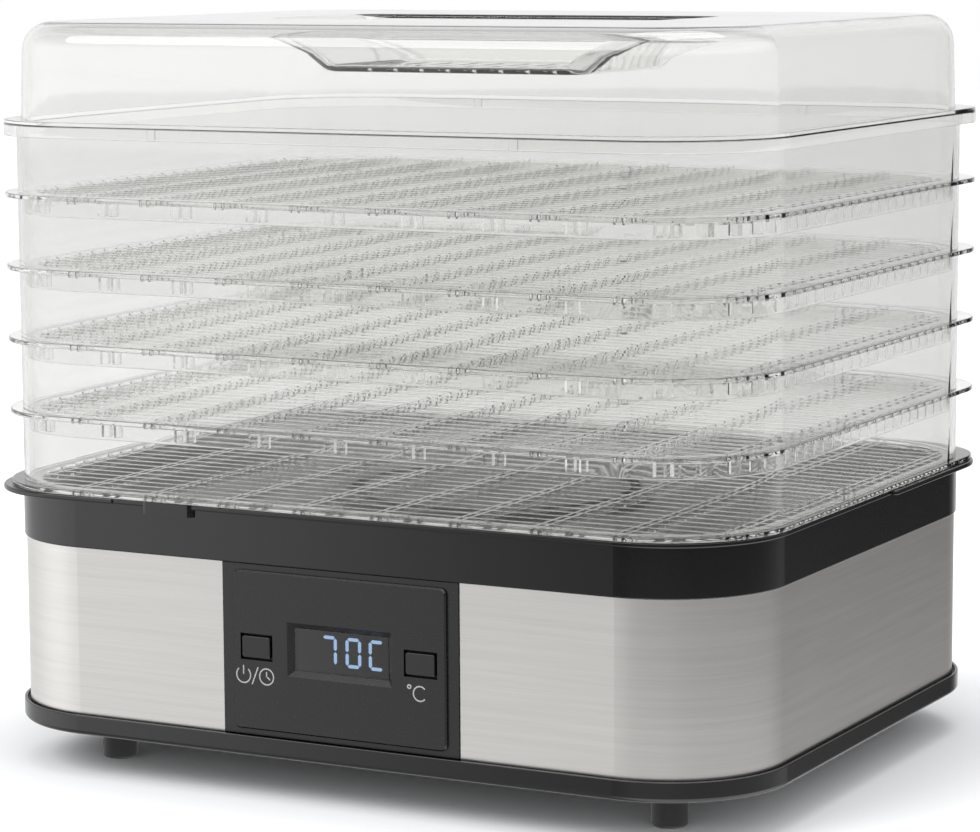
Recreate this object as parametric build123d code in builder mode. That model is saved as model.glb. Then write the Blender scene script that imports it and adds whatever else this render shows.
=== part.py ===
"""Food dehydrator: five clear trays and a clear lid stacked on a fan-heater base.

Millimetres, +Z up, front towards -Y. The origin is on the surface that the feet stand on,
under the middle of the footprint.
"""
import math
import os

from build123d import *

os.makedirs("parts", exist_ok=True)

# ---------------------------------------------------------------- driving dimensions
BODY_WIDTH = 330.0
BODY_DEPTH = 266.5
BODY_CORNER = 46.7
HALF_W = BODY_WIDTH / 2
HALF_D = BODY_DEPTH / 2

# levels above the table
FOOT_HEIGHT = 17.5
STEEL_BOTTOM = 22.5
SKIRT_TOP = 25.5
STEEL_TOP = 93.0
LIP_THICKNESS = 2.1
LIP_TOP = 114.2
TRAY_PITCH = 29.0
TRAY_COUNT = 5
FLANGE = 1.9
LID_SEAT = LIP_TOP + TRAY_COUNT * TRAY_PITCH
LID_TOP = 299.5

# plan offsets from the steel's outer face: outwards is positive
SKIRT_OUT = 2.5
SKIRT_LIP = 1.3
BAND_OUT = 0.8
LIP_OUT = 2.0
FLANGE_OUT = 2.5
TRAY_WALL_OUT = 0.4
STEEL_GAUGE = 0.8
HOUSING_OUT = -0.95
HOUSING_WALL = 2.2
TRAY_WALL = 2.0
NEST_GAP = 0.5
NEST_DEPTH = 6.5
NEST_WALL = 1.4
WELL_OUT = TRAY_WALL_OUT - TRAY_WALL

# corner ears that stick out for lifting, front left and back right
EAR_OUT = 6.5
EAR_FRONT_OUT = 3.3
EAR_REACH = 118.0
EAR_CORNER = 38.0
BLACK_EAR_OUT = 4.6
BLACK_EAR_FRONT_OUT = 2.7

# deck, air outlet and fan shroud
DECK_TOP = 104.2
DECK_THICKNESS = 2.2
OUTLET_R = 58.0
SHROUD_WALL = 2.0
SHROUD_BOTTOM = 62.0
COVER_PLATE = 2.5
COVER_TOP = FOOT_HEIGHT + COVER_PLATE

# control panel
PANEL_X = 2.0
PANEL_WIDTH = 104.5
PANEL_FACE_WIDTH = 94.0
FRAME_WIDTH = 95.0
FRAME_HEIGHT = 55.0
PANEL_PLATE_Y = -HALF_D - 0.3
PANEL_FACE_Y = -HALF_D - 1.7
HOUSING_FRONT_Y = -(HALF_D + HOUSING_OUT)
PANEL_MID_Z = (SKIRT_TOP + STEEL_TOP) / 2
PANEL_HEIGHT = STEEL_TOP - SKIRT_TOP - 0.4
WINDOW_Z = 61.1
WINDOW_W = 41.6
WINDOW_H = 16.8
WINDOW_BEVEL = 2.2
BUTTON_Z = 60.7
BUTTON_REACH = 36.2
BUTTON_W = 12.4
BUTTON_H = 8.4
BUTTON_GAP = 1.0
BUTTON_PROUD = 0.5
BUTTON_TRAVEL = 0.6
BOARD_FRONT_Y = -122.0
BOARD_THICKNESS = 1.6

# places of repeated fixings
COVER_SCREWS = [(sx * 138, sy * 104) for sx in (-1, 1) for sy in (-1, 1)]
COVER_SCREWS += [(0, 112), (0, -100)]
FOOT_PLACES = {
    "front_left": (-124, -97),
    "front_right": (124, -97),
    "back_left": (-124, 97),
    "back_right": (124, 97),
}
FOOT_R = 7.0

# fan, motor and heater on the centre line
SHAFT_R = 2.5
MOTOR_R = 29.0
MOTOR_BOTTOM = 46.0
MOTOR_TOP = 70.0
BRACKET_Z = 44.5
BRACKET_GAUGE = 1.5
FAN_BOTTOM = 75.0
FAN_HEIGHT = 14.0
FAN_R = 54.0
HEATER_Z = 93.0

BUSH_X = 112.0
BUSH_Z = 46.0
BUSH_BORE_R = 3.6
BUSH_BODY_R = 5.4


# ---------------------------------------------------------------- shared outlines
def outline(out, mode=Mode.ADD):
    """Rounded rectangle of the footprint, moved outwards by `out`."""
    RectangleRounded(2 * (HALF_W + out), 2 * (HALF_D + out), BODY_CORNER + out, mode=mode)


def eared_outline(out, ear_out, ear_front_out):
    """The footprint outline with an ear at the front left and back right corners."""
    outline(out)
    reach_x = 70.0
    centre_x = HALF_W + ear_out - reach_x / 2
    centre_y = HALF_D + ear_front_out - EAR_REACH / 2
    for side in (-1, 1):
        with Locations((side * centre_x, side * centre_y)):
            Rectangle(reach_x, EAR_REACH)
    sketch = BuildSketch._get_context()
    step = ear_out - out
    for side in (-1, 1):
        tip = Vector(side * (HALF_W + ear_out), side * (HALF_D + ear_front_out))
        fillet(sketch.vertices().sort_by_distance(tip)[0], EAR_CORNER)
        end = Vector(side * (HALF_W + ear_out), side * (HALF_D + ear_front_out - EAR_REACH))
        fillet(sketch.vertices().sort_by_distance(end)[0], 0.6 * step)


def fits_inside(x, y, out):
    """True where a point lies inside the footprint outline moved by `out`."""
    straight_x = HALF_W - BODY_CORNER
    straight_y = HALF_D - BODY_CORNER
    past_x = max(abs(x) - straight_x, 0)
    past_y = max(abs(y) - straight_y, 0)
    return math.hypot(past_x, past_y) <= BODY_CORNER + out


def save(part, name):
    """Labels one finished sub-part and writes its STEP file."""
    part.label = name
    export_step(part, f"parts/{name}.step")
    print(f"{name}: {part.volume / 1000:.1f} cm3")


# ---------------------------------------------------------------- upper housing of the base
with BuildPart() as housing_band:
    with BuildSketch(Plane.XY.offset(STEEL_TOP)):
        outline(BAND_OUT)
    extrude(amount=LIP_TOP - STEEL_TOP - 0.5)
    fillet(housing_band.faces().sort_by(Axis.Z)[0].edges(), 0.5)

with BuildPart() as housing_lip:
    with BuildSketch(Plane.XY.offset(LIP_TOP - LIP_THICKNESS)):
        eared_outline(LIP_OUT, BLACK_EAR_OUT, BLACK_EAR_FRONT_OUT)
    extrude(amount=LIP_THICKNESS)
    fillet(housing_lip.faces().sort_by(Axis.Z)[-1].edges(), 0.8)
    fillet(housing_lip.faces().sort_by(Axis.Z)[0].edges(), 0.6)

with BuildPart() as base_housing:
    with BuildSketch(Plane.XY.offset(COVER_TOP + 0.2)):
        outline(HOUSING_OUT)
    extrude(amount=STEEL_TOP - COVER_TOP)
    add(housing_band.part)
    add(housing_lip.part)
    # finger tabs under the lip, at the ends of the ears
    for side in (-1, 1):
        with BuildSketch(Plane.XY.offset(LIP_TOP - 4.9)):
            with Locations((side * 74, side * (HALF_D - 1))):
                RectangleRounded(24, 2 * (BLACK_EAR_FRONT_OUT + 1), 2.4)
        extrude(amount=4.9)
    # hollow for the works, and the well that the lowest tray nests in
    with BuildSketch(Plane.XY.offset(COVER_TOP)):
        outline(HOUSING_OUT - HOUSING_WALL)
    extrude(amount=DECK_TOP - DECK_THICKNESS - COVER_TOP, mode=Mode.SUBTRACT)
    with BuildSketch(Plane.XY.offset(DECK_TOP)):
        outline(WELL_OUT)
    extrude(amount=LIP_TOP - DECK_TOP, mode=Mode.SUBTRACT)
    fillet(base_housing.faces().sort_by(Axis.Z)[-1].inner_wires()[0].edges(), 0.5)
    # fan shroud round the air outlet
    with BuildSketch(Plane.XY.offset(SHROUD_BOTTOM)):
        Circle(OUTLET_R + SHROUD_WALL)
    extrude(amount=DECK_TOP - SHROUD_BOTTOM)
    with BuildSketch(Plane.XY.offset(SHROUD_BOTTOM)):
        Circle(OUTLET_R)
    extrude(amount=DECK_TOP - SHROUD_BOTTOM, mode=Mode.SUBTRACT)
    # bosses for the screws that come up through the bottom cover
    with BuildSketch(Plane.XY.offset(COVER_TOP + 0.2)):
        with Locations(*COVER_SCREWS):
            Circle(4.2)
    extrude(amount=DECK_TOP - DECK_THICKNESS - COVER_TOP)
    with BuildSketch(Plane.XY.offset(COVER_TOP)):
        with Locations(*COVER_SCREWS):
            Circle(1.35)
    extrude(amount=18, mode=Mode.SUBTRACT)
    # opening behind the control panel, and the hole for the cord bush
    with BuildSketch(Plane.XZ.offset(HALF_D - 12)):
        with Locations((PANEL_X, PANEL_MID_Z)):
            Rectangle(FRAME_WIDTH + 1, FRAME_HEIGHT + 1)
    extrude(amount=14, mode=Mode.SUBTRACT)
    with BuildSketch(Plane.XZ.offset(-HALF_D - 2)):
        with Locations((BUSH_X, BUSH_Z)):
            Circle(BUSH_BODY_R + 0.1)
    extrude(amount=12, mode=Mode.SUBTRACT)
save(base_housing.part, "base_housing")

# ---------------------------------------------------------------- brushed steel wrap
with BuildPart() as steel_wrap:
    with BuildSketch(Plane.XY.offset(STEEL_BOTTOM)):
        outline(0)
        outline(-STEEL_GAUGE, mode=Mode.SUBTRACT)
    extrude(amount=STEEL_TOP - STEEL_BOTTOM)
    with BuildSketch(Plane.XZ.offset(HALF_D - 10)):
        with Locations((PANEL_X, PANEL_MID_Z)):
            Rectangle(PANEL_WIDTH, 1.2 * STEEL_TOP)
    extrude(amount=14, mode=Mode.SUBTRACT)
    with BuildSketch(Plane.XZ.offset(-HALF_D - 2)):
        with Locations((BUSH_X, BUSH_Z)):
            Circle(BUSH_BODY_R + 0.1)
    extrude(amount=12, mode=Mode.SUBTRACT)
save(steel_wrap.part, "steel_wrap")

# ---------------------------------------------------------------- bottom cover with skirt
VENT_ROWS = [-42, -30, -18, -6, 6, 18, 30, 42]
with BuildPart() as bottom_cover:
    with BuildSketch(Plane.XY.offset(FOOT_HEIGHT)):
        outline(SKIRT_OUT)
    extrude(amount=SKIRT_TOP - FOOT_HEIGHT)
    fillet(bottom_cover.faces().sort_by(Axis.Z)[0].edges(), 1.8)
    # ledge that the steel stands on, behind the skirt's thin lip
    with BuildSketch(Plane.XY.offset(STEEL_BOTTOM)):
        outline(SKIRT_OUT - SKIRT_LIP)
    extrude(amount=SKIRT_TOP - STEEL_BOTTOM, mode=Mode.SUBTRACT)
    fillet(bottom_cover.faces().sort_by(Axis.Z)[-1].edges(), 0.45)
    with BuildSketch(Plane.XY.offset(COVER_TOP)):
        outline(HOUSING_OUT + 0.25)
    extrude(amount=STEEL_BOTTOM - COVER_TOP, mode=Mode.SUBTRACT)
    # air intake under the fan
    with BuildSketch(Plane.XY.offset(FOOT_HEIGHT)):
        for y in VENT_ROWS:
            with Locations((0, y)):
                SlotOverall(2 * math.sqrt(56 ** 2 - y ** 2), 3.4)
    extrude(amount=COVER_PLATE, mode=Mode.SUBTRACT)
    # screw holes with counterbores, and the holes that the feet snap into
    with Locations(*[Location((x, y, FOOT_HEIGHT), (180, 0, 0)) for x, y in COVER_SCREWS]):
        CounterBoreHole(radius=1.8, counter_bore_radius=3.6, counter_bore_depth=1.2)
    with BuildSketch(Plane.XY.offset(FOOT_HEIGHT)):
        with Locations(*FOOT_PLACES.values()):
            Circle(2.5)
    extrude(amount=COVER_PLATE, mode=Mode.SUBTRACT)
save(bottom_cover.part, "bottom_cover")

for corner, (foot_x, foot_y) in FOOT_PLACES.items():
    with BuildPart() as foot:
        with BuildSketch():
            with Locations((foot_x, foot_y)):
                Circle(FOOT_R)
        extrude(amount=FOOT_HEIGHT)
        fillet(foot.faces().sort_by(Axis.Z)[0].edges(), 1.2)
        with BuildSketch(Plane.XY.offset(FOOT_HEIGHT)):
            with Locations((foot_x, foot_y)):
                Circle(2.45)
        extrude(amount=COVER_PLATE + 2)
    save(foot.part, f"foot_{corner}")

with BuildPart() as cover_screws:
    with BuildSketch(Plane.XY.offset(FOOT_HEIGHT + 0.1)):
        with Locations(*COVER_SCREWS):
            Circle(3.2)
    extrude(amount=1.1)
    with BuildSketch(Plane.XY.offset(FOOT_HEIGHT + 1.2)):
        with Locations(*COVER_SCREWS):
            Circle(1.3)
    extrude(amount=14)
save(cover_screws.part, "cover_screws")

# ---------------------------------------------------------------- control panel
BOARD_PLACES = [(PANEL_X + sx * 41.5, PANEL_MID_Z + sz * 22.5) for sx in (-1, 1) for sz in (-1, 1)]
BUTTON_PLACES = {
    "power_timer_button": (PANEL_X - BUTTON_REACH, BUTTON_Z),
    "temperature_button": (PANEL_X + BUTTON_REACH, BUTTON_Z),
}
POCKET_Y = PANEL_FACE_Y + WINDOW_BEVEL
with BuildPart() as control_panel:
    with BuildSketch(Plane.XZ.offset(-HOUSING_FRONT_Y + 0.05)):
        with Locations((PANEL_X, PANEL_MID_Z)):
            Rectangle(PANEL_WIDTH - 0.6, PANEL_HEIGHT)
    extrude(amount=HOUSING_FRONT_Y - 0.05 - PANEL_PLATE_Y)
    with BuildSketch(Plane.XZ.offset(-PANEL_PLATE_Y)):
        with Locations((PANEL_X, PANEL_MID_Z)):
            RectangleRounded(PANEL_FACE_WIDTH, PANEL_HEIGHT - 4.6, 2.5)
    extrude(amount=PANEL_PLATE_Y - PANEL_FACE_Y)
    chamfer(control_panel.faces().sort_by(Axis.Y)[0].edges(), 0.6)
    # frame behind the plate that centres it in the housing's opening
    with BuildSketch(Plane.XZ.offset(-HOUSING_FRONT_Y - 5)):
        with Locations((PANEL_X, PANEL_MID_Z)):
            Rectangle(FRAME_WIDTH, FRAME_HEIGHT)
            Rectangle(FRAME_WIDTH - 3, FRAME_HEIGHT - 3, mode=Mode.SUBTRACT)
    extrude(amount=5.05)
    # screw posts for the board
    with BuildSketch(Plane.XZ.offset(-BOARD_FRONT_Y + 0.05)):
        with Locations(*BOARD_PLACES):
            Circle(2.8)
    extrude(amount=BOARD_FRONT_Y - HOUSING_FRONT_Y)
    with BuildSketch(Plane.XZ.offset(-BOARD_FRONT_Y)):
        with Locations(*BOARD_PLACES):
            Circle(1.05)
    extrude(amount=8, mode=Mode.SUBTRACT)
    # display window with bevelled sides
    with BuildSketch(Plane.XZ.offset(-PANEL_FACE_Y)):
        with Locations((PANEL_X + 0.6, WINDOW_Z)):
            Rectangle(WINDOW_W + 2 * WINDOW_BEVEL, WINDOW_H + 2 * WINDOW_BEVEL)
    with BuildSketch(Plane.XZ.offset(-POCKET_Y)):
        with Locations((PANEL_X + 0.6, WINDOW_Z)):
            Rectangle(WINDOW_W, WINDOW_H)
    loft(mode=Mode.SUBTRACT)
    with BuildSketch(Plane.XZ.offset(-HOUSING_FRONT_Y)):
        with Locations((PANEL_X + 0.6, WINDOW_Z)):
            Rectangle(WINDOW_W, WINDOW_H)
    extrude(amount=HOUSING_FRONT_Y - PANEL_FACE_Y, mode=Mode.SUBTRACT)
    # openings for the two buttons
    with BuildSketch(Plane.XZ.offset(-HOUSING_FRONT_Y)):
        with Locations(*BUTTON_PLACES.values()):
            Rectangle(BUTTON_W + 2 * BUTTON_GAP, BUTTON_H + 2 * BUTTON_GAP)
    extrude(amount=HOUSING_FRONT_Y - PANEL_FACE_Y, mode=Mode.SUBTRACT)
save(control_panel.part, "control_panel")

LENS_BACK_Y = HOUSING_FRONT_Y + 1.6
with BuildPart() as display_lens:
    with BuildSketch(Plane.XZ.offset(-LENS_BACK_Y)):
        with Locations((PANEL_X + 0.6, WINDOW_Z)):
            Rectangle(WINDOW_W + 3, WINDOW_H + 3)
    extrude(amount=LENS_BACK_Y - HOUSING_FRONT_Y)
    with BuildSketch(Plane.XZ.offset(-HOUSING_FRONT_Y)):
        with Locations((PANEL_X + 0.6, WINDOW_Z)):
            Rectangle(WINDOW_W - 0.2, WINDOW_H - 0.2)
    extrude(amount=0.5)
save(display_lens.part, "display_lens")

with BuildPart() as display_module:
    with BuildSketch(Plane.XZ.offset(-BOARD_FRONT_Y + 0.1)):
        with Locations((PANEL_X + 0.6, WINDOW_Z)):
            RectangleRounded(46, 20, 0.8)
    extrude(amount=BOARD_FRONT_Y - 0.1 - LENS_BACK_Y - 0.3)
save(display_module.part, "display_module")

BUTTON_FACE_Y = PANEL_FACE_Y - BUTTON_PROUD
BUTTON_FLANGE_Y = HOUSING_FRONT_Y + 0.2
SWITCH_TOP_Y = BOARD_FRONT_Y - 4.2
BUTTON_STEM_Y = SWITCH_TOP_Y - BUTTON_TRAVEL - 0.1
for button_name, place in BUTTON_PLACES.items():
    with BuildPart() as button:
        with BuildSketch(Plane.XZ.offset(-BUTTON_FLANGE_Y)):
            with Locations(place):
                RectangleRounded(BUTTON_W, BUTTON_H, 0.9)
        extrude(amount=BUTTON_FLANGE_Y - BUTTON_FACE_Y)
        fillet(button.faces().sort_by(Axis.Y)[0].edges(), 0.35)
        with BuildSketch(Plane.XZ.offset(-BUTTON_FLANGE_Y - 1.2)):
            with Locations(place):
                Rectangle(BUTTON_W + 2.6, BUTTON_H + 2.6)
        extrude(amount=1.2)
        with BuildSketch(Plane.XZ.offset(-BUTTON_STEM_Y)):
            with Locations(place):
                Circle(2.0)
        extrude(amount=BUTTON_STEM_Y - BUTTON_FLANGE_Y - 1.2)
    save(button.part, button_name)

with BuildPart() as tact_switches:
    with BuildSketch(Plane.XZ.offset(-BOARD_FRONT_Y)):
        with Locations(*BUTTON_PLACES.values()):
            Rectangle(6, 6)
    extrude(amount=3.4)
    with BuildSketch(Plane.XZ.offset(-BOARD_FRONT_Y + 3.4)):
        with Locations(*BUTTON_PLACES.values()):
            Circle(1.7)
    extrude(amount=0.8)
save(tact_switches.part, "tact_switches")

with BuildPart() as control_board:
    with BuildSketch(Plane.XZ.offset(-BOARD_FRONT_Y - BOARD_THICKNESS)):
        with Locations((PANEL_X, PANEL_MID_Z)):
            Rectangle(90, 51.5)
        with Locations(*BOARD_PLACES):
            Circle(1.2, mode=Mode.SUBTRACT)
    extrude(amount=BOARD_THICKNESS)
save(control_board.part, "control_board")

with BuildPart() as board_screws:
    with BuildSketch(Plane.XZ.offset(-BOARD_FRONT_Y - BOARD_THICKNESS - 1.5)):
        with Locations(*BOARD_PLACES):
            Circle(2.2)
    extrude(amount=1.45)
    with BuildSketch(Plane.XZ.offset(-BOARD_FRONT_Y - BOARD_THICKNESS - 0.05)):
        with Locations(*BOARD_PLACES):
            Circle(1.0)
    extrude(amount=7)
save(board_screws.part, "board_screws")

# ---------------------------------------------------------------- fan, motor and bracket
BRACKET_REACH = 70.0
with BuildPart() as motor_bracket:
    with BuildSketch(Plane.XZ.offset(-17)):
        with BuildLine():
            Polyline(
                (-BRACKET_REACH - 14, COVER_TOP + 0.75),
                (-BRACKET_REACH, COVER_TOP + 0.75),
                (-BRACKET_REACH, BRACKET_Z + 0.75),
                (BRACKET_REACH, BRACKET_Z + 0.75),
                (BRACKET_REACH, COVER_TOP + 0.75),
                (BRACKET_REACH + 14, COVER_TOP + 0.75),
            )
            offset(amount=BRACKET_GAUGE / 2)
        make_face()
    extrude(amount=34)
    with BuildSketch(Plane.XY.offset(BRACKET_Z)):
        Circle(9)
        with Locations((-20, 0), (20, 0)):
            Circle(2.1)
    extrude(amount=BRACKET_GAUGE, mode=Mode.SUBTRACT)
save(motor_bracket.part, "motor_bracket")

with BuildPart() as fan_motor:
    with BuildSketch(Plane.XY.offset(MOTOR_BOTTOM)):
        Circle(MOTOR_R)
    extrude(amount=MOTOR_TOP - MOTOR_BOTTOM)
    fillet(fan_motor.faces().sort_by(Axis.Z)[-1].edges(), 3)
    with BuildSketch(Plane.XY.offset(MOTOR_TOP)):
        Circle(6)
    extrude(amount=2)
    with BuildSketch(Plane.XY.offset(MOTOR_BOTTOM + 4)):
        Circle(SHAFT_R + 0.05)
    extrude(amount=MOTOR_TOP - MOTOR_BOTTOM, mode=Mode.SUBTRACT)
    with BuildSketch(Plane.XY.offset(MOTOR_BOTTOM)):
        with Locations((-20, 0), (20, 0)):
            Circle(1.55)
    extrude(amount=8, mode=Mode.SUBTRACT)
save(fan_motor.part, "fan_motor")

with BuildPart() as motor_screws:
    with BuildSketch(Plane.XY.offset(BRACKET_Z - 2)):
        with Locations((-20, 0), (20, 0)):
            Circle(3)
    extrude(amount=2)
    with BuildSketch(Plane.XY.offset(BRACKET_Z)):
        with Locations((-20, 0), (20, 0)):
            Circle(1.5)
    extrude(amount=8)
save(motor_screws.part, "motor_screws")

with BuildPart() as motor_shaft:
    with BuildSketch(Plane.XY.offset(MOTOR_BOTTOM + 4.2)):
        Circle(SHAFT_R)
    extrude(amount=FAN_BOTTOM + FAN_HEIGHT - MOTOR_BOTTOM - 4.2)
save(motor_shaft.part, "motor_shaft")

BLADE_COUNT = 7
with BuildPart() as fan_impeller:
    with BuildSketch(Plane.XY.offset(FAN_BOTTOM)):
        Circle(15)
    extrude(amount=FAN_HEIGHT - 1)
    fillet(fan_impeller.faces().sort_by(Axis.Z)[-1].edges(), 4)
    with Locations(Location((0, 0, FAN_BOTTOM + FAN_HEIGHT / 2))):
        with PolarLocations(0, BLADE_COUNT):
            with Locations(Location((14 + (FAN_R - 14) / 2, 0, 0), (28, 0, 0))):
                Box(FAN_R - 13, 22, 1.4)
    with BuildSketch(Plane.XY.offset(FAN_BOTTOM - 2)):
        Circle(SHAFT_R + 0.03)
    extrude(amount=FAN_HEIGHT + 4, mode=Mode.SUBTRACT)
save(fan_impeller.part, "fan_impeller")

# ---------------------------------------------------------------- heater in the air outlet
COIL_R = 38.0
COIL_WIRE = 2.4
with BuildPart() as heater_frame:
    for angle in (0, 60, 120):
        with BuildSketch(Plane.XY.offset(HEATER_Z).rotated((0, 0, angle))):
            Rectangle(2 * OUTLET_R - 4.2, 5)
        extrude(amount=1.2)
    with BuildSketch(Plane.XY.offset(HEATER_Z)):
        Circle(9)
    extrude(amount=1.2)
save(heater_frame.part, "heater_frame")

with BuildPart() as heater_coil:
    for radius in (COIL_R - 14, COIL_R, COIL_R + 12):
        with BuildSketch(Plane.XZ):
            with Locations((radius, HEATER_Z + 1.25 + COIL_WIRE / 2)):
                Circle(COIL_WIRE / 2)
        revolve(axis=Axis.Z)
save(heater_coil.part, "heater_coil")

with BuildPart() as heat_shield:
    with BuildSketch(Plane.XY.offset(HEATER_Z - 3)):
        Circle(OUTLET_R - 0.3)
        Circle(OUTLET_R - 1.1, mode=Mode.SUBTRACT)
    extrude(amount=11)
save(heat_shield.part, "heat_shield")

with BuildPart() as thermal_fuse:
    with BuildSketch(Plane.YZ.offset(14)):
        with Locations((0, HEATER_Z + 1.3 + 2)):
            Circle(2)
    extrude(amount=7)
save(thermal_fuse.part, "thermal_fuse")

with BuildPart() as temperature_sensor:
    with BuildSketch(Plane.XY.offset(DECK_TOP - DECK_THICKNESS - 6)):
        with Locations((OUTLET_R + 12, 0)):
            Circle(3)
    extrude(amount=6)
save(temperature_sensor.part, "temperature_sensor")

# ---------------------------------------------------------------- guard over the air outlet
GUARD_R = 66.0
GUARD_THICKNESS = 2.2
with BuildPart() as outlet_guard:
    with BuildSketch(Plane.XY.offset(DECK_TOP)):
        Circle(GUARD_R)
        for ring in range(7):
            hole_in = 12 + 7.2 * ring
            hole_out = hole_in + 5.0
            Circle(hole_out, mode=Mode.SUBTRACT)
            Circle(hole_in)
        for angle in (0, 45, 90, 135):
            with Locations(Location((0, 0, 0), (0, 0, angle))):
                Rectangle(2 * GUARD_R - 8, 3)
    extrude(amount=GUARD_THICKNESS)
save(outlet_guard.part, "outlet_guard")

# ---------------------------------------------------------------- mains parts
SUPPLY_X = 112.0
SUPPLY_Z = 27.0
SUPPLY_POSTS = [(SUPPLY_X + sx * 26, sy * 36) for sx in (-1, 1) for sy in (-1, 1)]
with BuildPart() as supply_board:
    with BuildSketch(Plane.XY.offset(SUPPLY_Z)):
        with Locations((SUPPLY_X, 0)):
            Rectangle(60, 80)
        with Locations(*SUPPLY_POSTS):
            Circle(1.6, mode=Mode.SUBTRACT)
    extrude(amount=BOARD_THICKNESS)
save(supply_board.part, "supply_board")

with BuildPart() as supply_posts:
    with BuildSketch(Plane.XY.offset(COVER_TOP)):
        with Locations(*SUPPLY_POSTS):
            Circle(3)
    extrude(amount=SUPPLY_Z - COVER_TOP)
    with BuildSketch(Plane.XY.offset(SUPPLY_Z)):
        with Locations(*SUPPLY_POSTS):
            Circle(1.5)
    extrude(amount=3)
save(supply_posts.part, "supply_posts")

BOARD_TOP = SUPPLY_Z + BOARD_THICKNESS
with BuildPart() as transformer:
    with BuildSketch(Plane.XY.offset(BOARD_TOP)):
        with Locations((SUPPLY_X + 8, -20)):
            Rectangle(28, 24)
    extrude(amount=20)
    chamfer(transformer.faces().sort_by(Axis.Z)[-1].edges(), 1)
save(transformer.part, "transformer")

with BuildPart() as heater_relay:
    with BuildSketch(Plane.XY.offset(BOARD_TOP)):
        with Locations((SUPPLY_X + 8, 14)):
            Rectangle(19, 15.5)
    extrude(amount=15)
    fillet(heater_relay.faces().sort_by(Axis.Z)[-1].edges(), 0.8)
save(heater_relay.part, "heater_relay")

with BuildPart() as filter_capacitors:
    with BuildSketch(Plane.XY.offset(BOARD_TOP)):
        with Locations((SUPPLY_X - 14, -4), (SUPPLY_X - 14, 12)):
            Circle(5)
    extrude(amount=16)
save(filter_capacitors.part, "filter_capacitors")

TERMINAL_PLACE = (86.0, 88.0)
with BuildPart() as terminal_block:
    with BuildSketch(Plane.XY.offset(COVER_TOP)):
        with Locations(TERMINAL_PLACE):
            Rectangle(34, 16)
    extrude(amount=14)
    with BuildSketch(Plane.XY.offset(COVER_TOP + 6)):
        with Locations(TERMINAL_PLACE):
            with GridLocations(10, 1, 3, 1):
                Circle(2.2)
    extrude(amount=8, mode=Mode.SUBTRACT)
save(terminal_block.part, "terminal_block")

with BuildPart() as cord_bush:
    with BuildSketch(Plane.XZ.offset(-HALF_D)):
        with Locations((BUSH_X, BUSH_Z)):
            Circle(8)
    extrude(amount=-2)
    with BuildSketch(Plane.XZ.offset(-HALF_D)):
        with Locations((BUSH_X, BUSH_Z)):
            Circle(BUSH_BODY_R)
    extrude(amount=10)
    with BuildSketch(Plane.XZ.offset(-HALF_D - 2)):
        with Locations((BUSH_X, BUSH_Z)):
            Circle(BUSH_BORE_R)
    extrude(amount=12, mode=Mode.SUBTRACT)
save(cord_bush.part, "cord_bush")

# ---------------------------------------------------------------- trays
SLOT_PITCH_X = 34.0
SLOT_PITCH_Y = 9.0
SLOT_W = 32.0
SLOT_H = 7.0
FLOOR_MARGIN = -7.0
SLOT_PLACES = [
    (SLOT_PITCH_X * column, SLOT_PITCH_Y * row)
    for column in range(-4, 5)
    for row in range(-13, 14)
    if fits_inside(abs(SLOT_PITCH_X * column) + SLOT_W / 2,
                   abs(SLOT_PITCH_Y * row) + SLOT_H / 2, FLOOR_MARGIN)
]

with BuildPart() as tray:
    with BuildSketch(Plane.XY.offset(LIP_TOP)):
        eared_outline(FLANGE_OUT, EAR_OUT, EAR_FRONT_OUT)
        with Locations(*SLOT_PLACES):
            Rectangle(SLOT_W, SLOT_H, mode=Mode.SUBTRACT)
    extrude(amount=FLANGE)
    with BuildSketch(Plane.XY.offset(LIP_TOP + FLANGE)):
        outline(TRAY_WALL_OUT)
        outline(WELL_OUT, mode=Mode.SUBTRACT)
    extrude(amount=TRAY_PITCH - FLANGE)
    # rim under the floor that nests inside the wall below
    with BuildSketch(Plane.XY.offset(LIP_TOP - NEST_DEPTH)):
        outline(WELL_OUT - NEST_GAP)
        outline(WELL_OUT - NEST_GAP - NEST_WALL, mode=Mode.SUBTRACT)
    extrude(amount=NEST_DEPTH)

# the trays are alike, and each stands on the wall of the one below
for number in range(1, TRAY_COUNT + 1):
    rise = (number - 1) * TRAY_PITCH
    save(tray.part.moved(Location((0, 0, rise))), f"tray_{number}")

# ---------------------------------------------------------------- lid with a moulded grip
LID_SKIRT_BOTTOM = LID_SEAT - 4.4
LID_WALL = 1.9
LID_WALL_OUT = -1.5
LID_DRAFT = 1.8
LID_ROUND = 11.0
SKIRT_WALL = 1.5
GRIP_TOP_W = 168.0
GRIP_BOTTOM_W = 115.0
GRIP_TOP_D = 80.0
GRIP_BOTTOM_D = 74.0
GRIP_DEPTH = 19.5
with BuildPart() as lid_hollow:
    with BuildSketch(Plane.XY.offset(LID_SEAT)):
        outline(LID_WALL_OUT - LID_WALL)
    extrude(amount=LID_TOP - LID_WALL - LID_SEAT, taper=LID_DRAFT)
    fillet(lid_hollow.faces().sort_by(Axis.Z)[-1].edges(), LID_ROUND - LID_WALL)

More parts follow.
